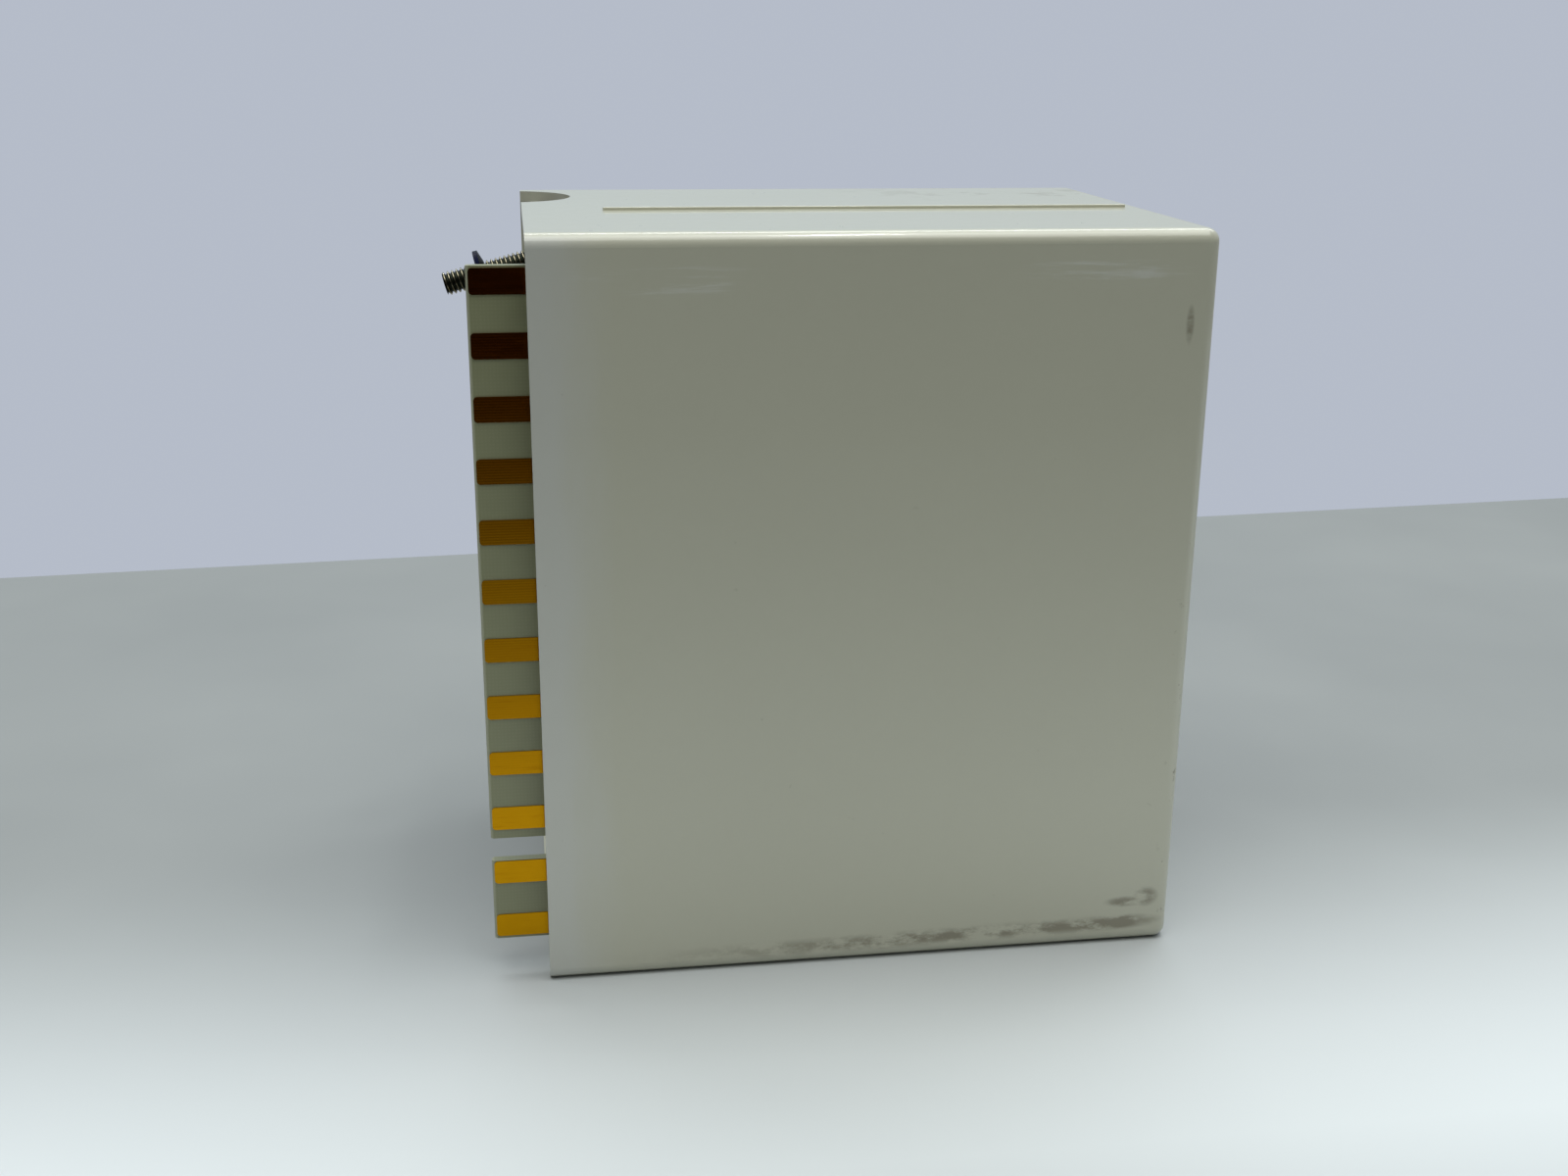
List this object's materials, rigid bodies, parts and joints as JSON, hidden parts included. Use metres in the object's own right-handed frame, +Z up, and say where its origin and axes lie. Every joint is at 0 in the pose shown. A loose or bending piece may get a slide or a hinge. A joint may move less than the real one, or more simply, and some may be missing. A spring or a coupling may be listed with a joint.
{
  "type": "solid state relay",
  "caption": "Plug-in solid state relay: a box cover over a folded chassis and circuit board, with a rear edge connector and a captive jackscrew.",
  "frame": {"origin": "bottom centre of the bounding box, on the face the cover stands on", "axes": "+X to the closed front face, -X to the edge connector and jackscrew, +Y away from the board's side wall, +Z up"},
  "size_m": [0.12, 0.0758, 0.1205],
  "materials": {
    "cover_plastic": "moulded beige thermoplastic, satin to glossy, scuffed",
    "nameplate_sheet": "brushed aluminium plate, blank",
    "zinc_screw": "yellow zinc-plated steel",
    "bright_screw": "bright zinc-plated steel",
    "chassis_metal": "folded aluminium sheet",
    "standoff_metal": "turned hexagonal bar",
    "board_laminate": "glass-epoxy laminate, no solder mask",
    "contact_gold": "gold-plated copper",
    "retainer_black": "black oxide spring steel",
    "led_red": "red diffused epoxy",
    "black_plastic": "moulded black plastic",
    "trimmer_blue": "blue moulded plastic",
    "trimmer_brass": "turned brass",
    "heatsink_metal": "black anodised extrusion",
    "package_epoxy": "moulded epoxy",
    "tinned_copper": "tinned copper",
    "insulator_mica": "mica sheet",
    "core_steel": "stacked silicon-steel laminations, varnished",
    "coil_tape": "yellow polyester tape over the winding",
    "bobbin_nylon": "natural nylon",
    "strap_steel": "zinc-plated steel strip",
    "capacitor_sleeve": "blue shrink sleeve over an aluminium can",
    "film_yellow": "yellow dipped film capacitor",
    "varistor_disc": "orange epoxy-coated disc",
    "resistor_tan": "tan carbon-film body",
    "cement_white": "white ceramic body",
    "fuse_glass": "clear glass tube",
    "nickel_cap": "nickel-plated brass"
  },
  "bodies": {
    "case": {"cover": "cover_plastic", "nameplate": "nameplate_sheet", "cover_screws": "bright_screw", "cover_nuts": "bright_screw", "chassis": "chassis_metal", "standoffs": "standoff_metal", "board_screws": "bright_screw", "chassis_screws": "bright_screw", "main_board": "board_laminate", "edge_contacts_near": "contact_gold", "edge_contacts_far": "contact_gold", "status_led": "led_red", "led_holder": "black_plastic", "trimmer": "trimmer_blue", "heatsink": "heatsink_metal", "heatsink_screws": "bright_screw", "triac_bodies": "package_epoxy", "triac_tabs": "tinned_copper", "triac_leads": "tinned_copper", "triac_insulators": "insulator_mica", "triac_screws": "bright_screw", "transformer_core": "core_steel", "transformer_coil": "coil_tape", "transformer_bobbin": "bobbin_nylon", "transformer_strap": "strap_steel", "filter_capacitors": "capacitor_sleeve", "bridge_rectifier": "package_epoxy", "optocouplers": "package_epoxy", "optocoupler_pins": "tinned_copper", "logic_chips": "package_epoxy", "logic_chip_pins": "tinned_copper", "snubber_capacitors": "film_yellow", "varistors": "varistor_disc", "varistor_leads": "tinned_copper", "resistors": "resistor_tan", "resistor_leads": "tinned_copper", "dropping_resistor": "cement_white", "fuse_tube": "fuse_glass", "fuse_caps": "nickel_cap", "fuse_clips": "tinned_copper"},
    "jackscrew_washer": {"jackscrew_washer": "bright_screw"},
    "push_on_retainer": {"push_on_retainer": "retainer_black"},
    "jackscrew": {"jackscrew": "zinc_screw"},
    "trimmer_screw": {"trimmer_screw": "trimmer_brass"}
  },
  "joints": [
    {"name": "jackscrew_tilt", "type": "hinge", "parent": "case", "child": "jackscrew_washer", "pos_m": [-0.04336, 0.0225, 0.10925], "axis": [0, 1, 0], "range_deg": [0, 30]},
    {"name": "jackscrew_slide", "type": "slide", "parent": "jackscrew_washer", "child": "push_on_retainer", "axis": [0.9659, 0, 0.2588], "range_m": [0, 0.007]},
    {"name": "jackscrew_spin", "type": "hinge", "parent": "push_on_retainer", "child": "jackscrew", "pos_m": [-0.04336, 0.0225, 0.10925], "axis": [0.9659, 0, 0.2588], "continuous": true},
    {"name": "trimmer_spin", "type": "hinge", "parent": "case", "child": "trimmer_screw", "pos_m": [0.05369, -0.0283, 0.084], "axis": [1, 0, 0], "continuous": true}
  ]
}
